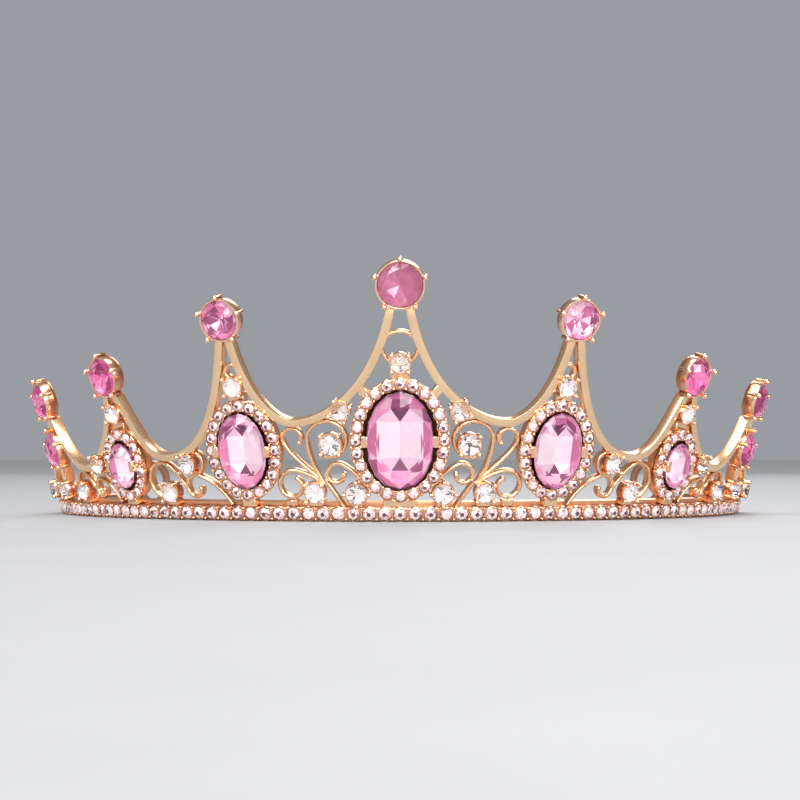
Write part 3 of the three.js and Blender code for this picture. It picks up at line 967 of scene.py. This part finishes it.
class MakeOvalStones(bpy.types.Operator):
    """Cut the oval stones: a tinted crown over foiled back facets"""
    bl_idname = "tiara.make_oval_stones"
    bl_label = "Oval stones"

    def execute(self, context):
        colours = context.scene.tiara_colours
        draw = random.Random(3)
        crowns = Piece()
        backs = Piece()
        for peak, at in oval_seats():
            size = [width / 2 for width in peak.oval]
            set_stone(
                crowns, backs, at, size,
                [even(1, 0.55, 16), even(1, 0.75, 16), even(0.86, 1.35, 8, True), even(0.7, 2.0, 8)],
                [even(0.95, 0.4, 16), even(0.84, -0.3, 12, True), Level(0.86, 0.52, -1.0, 4, True),
                 Level(0.35, 0.86, -1.0, 4, True), Level(0.012, 0.36, -1.75, 4)],
                self.shading(*size, draw))
        nodes = nodes_named("oval_")
        crowns.finish(
            "oval_crowns", glass_finish("pink_glass", (1.0, 0.93, 0.97), 0.02), "pink_stone", nodes)
        backs.finish("oval_backs", pink_foil(colours), "pink_stone", nodes)
        return {"FINISHED"}

    def shading(self, half_u, half_v, draw):
        """Painted light and shade on the foil: pale flats beside the keel, the left paler than the
        right, dark kites at its ends, pink all round.
        """
        def rule(centre, normal):
            across = abs(centre.x) / half_u
            up = abs(centre.y) / half_v
            if centre.z < -1.3:
                return 0.5 if across < 0.05 else 1.0 if centre.x < 0 else 0.93
            if centre.z < -1.1:
                return 0.06 if across < 0.1 else 0.85
            return draw.choice((0.2, 0.45, 0.55, 0.65, 0.8)) if up > 0.25 else draw.choice((0.45, 0.6))

        return rule


def pink_foil(colours):
    """The foil behind the pink stones, made once: pink, painted from dark to near white by each facet's
    shade.
    """
    pink = Vector(colours.pink)
    return bpy.data.materials.get("pink_foil") or foil_finish(
        "pink_foil", [(0, 0.12 * pink), (0.35, 0.6 * pink), (0.6, pink.lerp(Vector((1, 1, 1)), 0.15)),
                      (0.8, pink.lerp(Vector((1, 1, 1)), 0.55)), (1, (1.0, 0.93, 0.97))], 0.2, 0.1, 0.16)


class MakeRoundStones(bpy.types.Operator):
    """Cut the round pink stones, with the cloudy one at the top of the centre peak"""
    bl_idname = "tiara.make_round_stones"
    bl_label = "Round stones"

    def execute(self, context):
        colours = context.scene.tiara_colours
        draw = random.Random(11)
        paler = Piece()
        side_shaded = Piece()
        backs = Piece()
        for place, width in round_places():
            if width == CENTRE_PEAK.round_width:
                continue
            half = width / 2
            # Painted shade: stones turned to the side get a deeper pink crown than those that face the
            # front.
            set_stone(
                paler if faces_front(place) else side_shaded, backs, place, (half, half),
                [even(1, 0.5, 16), even(1, 0.65, 16), even(0.8, 1.36, 8, True), even(0.56, 1.9, 8)],
                ROUND_BACK, lambda centre, normal: draw.choice((0.2, 0.45, 0.6, 0.75, 0.9)))
        front = ["round_second_right", "round_second_left"]
        sides = [name for name in nodes_named("round_") if name not in ["round_centre", *front]]
        glass = glass_finish("mid_pink_glass", (1.0, 0.84, 0.92), 0.02)
        paler.finish("round_crowns_front", glass, "pink_stone", front)
        # The deeper tint of the side stones is painted shade.
        glass = glass_finish("side_shaded_pink_glass", (1.0, 0.4, 0.68), 0.02)
        side_shaded.finish("round_crowns_side", glass, "pink_stone", sides)
        backs.finish("round_backs", pink_foil(colours), "pink_stone", front + sides)
        self.add_centre()
        return {"FINISHED"}

    def add_centre(self):
        """The stone of the centre peak: a wide table over a cloudy back."""
        half = CENTRE_PEAK.round_width / 2
        crown = Piece()
        back = Piece()
        # Painted light and shade on the back facets: paler above the middle, darker on the right half.
        set_stone(
            crown, back, seat(*CENTRE_PEAK.place(CENTRE_PEAK.round_at)), (half, half),
            [even(1, 0.5, 16), even(1, 0.65, 16), even(0.9, 1.36, 8, True), even(0.76, 1.9, 8)],
            ROUND_BACK, lambda centre, normal: 0.5 + 0.25 * (centre.y > 0) - 0.2 * (centre.x > 0))
        crown.finish(
            "round_crown_centre", glass_finish("mauve_glass", (1.0, 0.8, 0.88), 0.05), "pink_stone",
            ["round_centre"])
        back.finish(
            "round_back_centre", cloudy_finish("cloudy_mauve", (0.85, 0.36, 0.54), (0.5, 0.12, 0.24)),
            "pink_stone", ["round_centre"])


def faces_front(place):
    """Whether a seat faces the front of the tiara more than its side."""
    return abs(place.translation.x) < FRONT_REACH * MM


def round_places():
    """Seat and width of every round pink stone."""
    for peak, side in peak_seats():
        u, v = peak.place(peak.round_at)
        yield seat(side * u, v), peak.round_width
    for side in BOTH_SIDES:
        for v in END_ROUNDS_V:
            yield seat(side * END_PEAK_U, v), END_ROUND_WIDTH


def clear_places():
    """Seat and width of every large clear stone."""
    for peak, side in peak_seats():
        u, v = peak.place(peak.clear_at)
        yield seat(side * u, v), PEAK_CLEAR_WIDTH
    for side in BOTH_SIDES:
        yield seat(side * END_PEAK_U, END_CLEAR_V), PEAK_CLEAR_WIDTH
        for stone in SCROLL_STONES:
            yield seat(side * stone.u, stone.v, side * math.radians(stone.turn)), stone.width


class MakeRoundCups(bpy.types.Operator):
    """Make the cups of the round stones, each with a rim and five beaded prongs"""
    bl_idname = "tiara.make_round_cups"
    bl_label = "Round cups"

    def execute(self, context):
        piece = Piece()
        bead = context.scene.tiara_sizes.prong_bead / MM
        prong = beaded_prong(bead, 0.33, 1.15)
        for place, width in round_places():
            half = width / 2
            piece.add(spun([
                (0, -2), (half - 0.7, -2), (half + 0.2, -1.6), (half + 0.42, -1), (half + 0.42, 0.4),
                (half + 0.36, 0.68), (half + 0.2, 0.76), (half + 0.03, 0.7), (half - 0.02, 0.4),
                (half - 0.3, -0.8), (0, -1.7)], 40), place)
            for i in range(5):
                turn = Matrix.Rotation(math.tau * i / 5, 4, "Z")
                piece.add(prong, place @ turn @ Matrix.Translation((0, half + ROUND_PRONG_OUT, 0)))
        piece.finish("round_cups", setting_metal(), "rose_gold", ["frame"], 50)
        return {"FINISHED"}


def beaded_prong(bead, stem, height):
    """A stem that ends in a bead at the named height."""
    return spun([
        (0, -1.25), (stem, -1.1), (stem, height - 0.8 * bead), (0.92 * bead, height - 0.35 * bead),
        (bead, height), (0.8 * bead, height + 0.6 * bead), (0.4 * bead, height + 0.92 * bead),
        (0, height + bead)], 8)


class MakeClearCups(bpy.types.Operator):
    """Make the cups of the clear stones, each with four beaded prongs"""
    bl_idname = "tiara.make_clear_cups"
    bl_label = "Clear cups"

    def execute(self, context):
        piece = Piece()
        bead = 0.8 * context.scene.tiara_sizes.prong_bead / MM
        prong = beaded_prong(bead, 0.3, 0.9)
        for place, width in clear_places():
            half = width / 2
            piece.add(spun([
                (0, -2), (half - 0.5, -2), (half + 0.15, -1.6), (half + 0.3, -1), (half + 0.3, 0.1),
                (half + 0.22, 0.3), (half + 0.02, 0.32), (half - 0.1, 0.1), (half - 0.3, -0.6),
                (0, -1.5)], 28), place)
            for i in range(4):
                turn = Matrix.Rotation(math.pi * (i + 0.5) / 2, 4, "Z")
                piece.add(prong, place @ turn @ Matrix.Translation((half + CLEAR_PRONG_OUT, 0, 0)))
        piece.finish("clear_cups", setting_metal(), "rose_gold", ["frame"], 50)
        return {"FINISHED"}


class MakeClearStones(bpy.types.Operator):
    """Cut the large clear stones: a clear crown over silvered back facets"""
    bl_idname = "tiara.make_clear_stones"
    bl_label = "Clear stones"

    def execute(self, context):
        colours = context.scene.tiara_colours
        draw = random.Random(5)
        crowns = Piece()
        backs = Piece()
        for place, width in clear_places():
            half = width / 2

            # Painted reflections on the silvered facets: mostly white, with a few dark ticks.
            def rule(centre, normal):
                outer = centre.xy.length > 0.5 * half
                return draw.choice(
                    (0.0, 0.85, 1.0, 1.0, 1.0) if outer else (0.1, 0.9, 1.0, 1.0, 1.0, 1.0))

            set_stone(
                crowns, backs, place, (half, half),
                [even(1, 0.4, 16), even(0.8, 0.98, 8, True), even(0.55, 1.3, 8)],
                [even(0.96, 0.25, 24), even(0.62, -0.3, 24, True), even(0.22, -0.75, 12)], rule)
        nodes = nodes_named("clear_")
        glass = glass_finish("clear_glass", colours.clear, 0.02)
        crowns.finish("clear_crowns", glass, "clear_stone", nodes)
        silver = foil_finish(
            "silver_foil", [(0, (0.015, 0.01, 0.015)), (0.4, (0.5, 0.45, 0.47)),
                            (0.7, (0.95, 0.84, 0.86)), (1, (1, 0.98, 0.98))], 0.4, 0.2, 0.16)
        backs.finish("clear_backs", silver, "clear_stone", nodes)
        return {"FINISHED"}


class MakeEndWires(bpy.types.Operator):
    """Bend the end wires: from inside the band's ends back to an upright eye"""
    bl_idname = "tiara.make_end_wires"
    bl_label = "End wires"

    def execute(self, context):
        colours = context.scene.tiara_colours
        piece = Piece()
        radius = context.scene.tiara_sizes.end_wire / MM
        section = wire_section_round(radius)
        in_metres = Matrix.Scale(MM, 4)
        for side in BOTH_SIDES:
            along = Vector((-side * math.sin(EYE_TURN), math.cos(EYE_TURN), 0))
            eye, *knots = [Vector((side * x, HEAD_CENTRE_Y + y, z)) for x, y, z in (EYE_AT, *WIRE_KNOTS)]
            start = eye - EYE_RADIUS * along
            held = [bent((side * u, *WIRE_ON_BAND_VW)) / MM for u in WIRE_ON_BAND_U]
            line = self.through([*held, *knots, start])
            loop = []
            for i in range(1, 41):
                angle = math.radians(348) * i / 40
                loop.append(eye - EYE_RADIUS * (math.cos(angle) * along + math.sin(angle) * OUTWARD))
            piece.add(carried(line, section), in_metres)
            piece.add(carried([start] + loop, section, along.cross(OUTWARD)), in_metres)
            for end in (line[0], loop[-1]):
                piece.add(ball(radius, end, 12, 8), in_metres)
        # Painted shade: the wire's recesses darken to a deeper brown.
        finish = rose_gold_finish("end_wire_copper", colours.wire, 0.6 * Vector(colours.wire), 0.28)
        piece.finish("end_wires", finish, "rose_gold", nodes_named("end_wire_"), 60)
        return {"FINISHED"}

    def through(self, knots):
        """A smooth line through the knots of a wire."""
        line = []
        last = len(knots) - 1
        for i in range(last):
            start = knots[i + 1] - knots[max(i - 1, 0)]
            end = knots[min(i + 2, last)] - knots[i]
            reach = (knots[i + 1] - knots[i]).length / 3
            line += interpolate_bezier(
                knots[i], knots[i] + reach * start.normalized(), knots[i + 1] - reach * end.normalized(),
                knots[i + 1], 14)[:-1]
        return line + [knots[-1]]


def wire_section_round(radius):
    """A round section."""
    sides = 14
    angles = [math.tau * i / sides for i in range(sides)]
    return [(radius * math.cos(angle), radius * math.sin(angle)) for angle in angles]


# Stage: each lamp's name, place, size and power, in metres and watts, then the view

LAMPS = (
    ("key", (-0.45, -0.6, 0.62), 0.4, 5.5),
    ("front", (0.1, -0.95, 0.3), 0.5, 5),
    ("fill", (0.6, -0.5, 0.35), 0.3, 3),
    ("top", (0.05, 0.0, 0.8), 0.4, 2),
    ("back", (0.15, 0.7, 0.5), 0.4, 2),
)
LAMP_TARGET = Vector((0, -0.03, 0.018))
VIEW_TARGET = Vector((0, -0.052, 0.0215))
VIEW_OFFSET = Vector((0, -0.38, -0.0095))


class MakeStage(bpy.types.Operator):
    """Set the pale floor, the soft lights and the camera"""
    bl_idname = "tiara.make_stage"
    bl_label = "Floor, lights and camera"

    def execute(self, context):
        floor_mesh = bmesh.new()
        bmesh.ops.create_circle(floor_mesh, cap_ends=True, segments=96, radius=4)
        mesh = bpy.data.meshes.new("floor")
        floor_mesh.to_mesh(mesh)
        floor_mesh.free()
        floor = in_scene("floor", mesh)
        finish = Finish("floor_matte")
        speckle = finish.noise(40, 2)
        mesh.materials.append(finish.close({
            "Base Color": finish.between(speckle, (0.31, 0.31, 0.32, 1), (0.34, 0.34, 0.35, 1)),
            "Roughness": 0.7}))
        world = bpy.data.worlds.new("studio")
        world.use_nodes = True
        background = world.node_tree.nodes["Background"]
        background.inputs["Color"].default_value = (0.8, 0.83, 0.88, 1)
        background.inputs["Strength"].default_value = 0.4
        context.scene.world = world
        context.scene.view_settings.view_transform = "Standard"
        for name, place, size, power in LAMPS:
            lamp = bpy.data.lights.new(name, "AREA")
            lamp.shape = "DISK"
            lamp.size = size
            lamp.energy = power
            light = in_scene(name, lamp)
            light.location = place
            light.rotation_euler = (LAMP_TARGET - Vector(place)).to_track_quat("-Z", "Y").to_euler()
        sky = bpy.data.lights.new("overhead", "SUN")
        sky.energy = 1.7
        sky.angle = math.radians(35)
        overhead = in_scene("overhead", sky)
        overhead.rotation_euler = (math.radians(25), 0, math.radians(-20))
        lens = bpy.data.cameras.new("camera")
        lens.sensor_width = 36
        lens.lens = 97.5
        lens.clip_start = 0.005
        camera = in_scene("camera", lens)
        camera.location = VIEW_TARGET + VIEW_OFFSET
        camera.rotation_euler = (VIEW_TARGET - camera.location).to_track_quat("-Z", "Y").to_euler()
        context.scene.camera = camera
        return {"FINISHED"}


class TiaraPanel(bpy.types.Panel):
    """Sizes, colours and pieces of the tiara"""
    bl_label = "Jewelled Tiara"
    bl_idname = "VIEW3D_PT_tiara"
    bl_space_type = "VIEW_3D"
    bl_region_type = "UI"
    bl_category = "Tiara"

    def draw(self, context):
        for group in (context.scene.tiara_sizes, context.scene.tiara_colours):
            box = self.layout.box()
            for name in group.__annotations__:
                box.prop(group, name)
        column = self.layout.column()
        for maker in MAKERS:
            column.operator(maker.bl_idname)


MAKERS = (
    MakeStage, MakeBase, MakeArches, MakeScrolls, MakeBand, MakeHalos, MakeRowStones,
    MakeOvalSettings, MakeOvalStones, MakeRoundCups, MakeRoundStones, MakeClearCups,
    MakeClearStones, MakeEndWires)
CLASSES = (TiaraSizes, TiaraColours, *MAKERS, TiaraPanel)


def register():
    for item in CLASSES:
        bpy.utils.register_class(item)
    bpy.types.Scene.tiara_sizes = PointerProperty(type=TiaraSizes)
    bpy.types.Scene.tiara_colours = PointerProperty(type=TiaraColours)


def unregister():
    del bpy.types.Scene.tiara_colours
    del bpy.types.Scene.tiara_sizes
    for item in reversed(CLASSES):
        bpy.utils.unregister_class(item)


def main():
    register()
    for maker in MAKERS:
        group, name = maker.bl_idname.split(".")
        getattr(getattr(bpy.ops, group), name)()


if __name__ == "__main__":
    main()
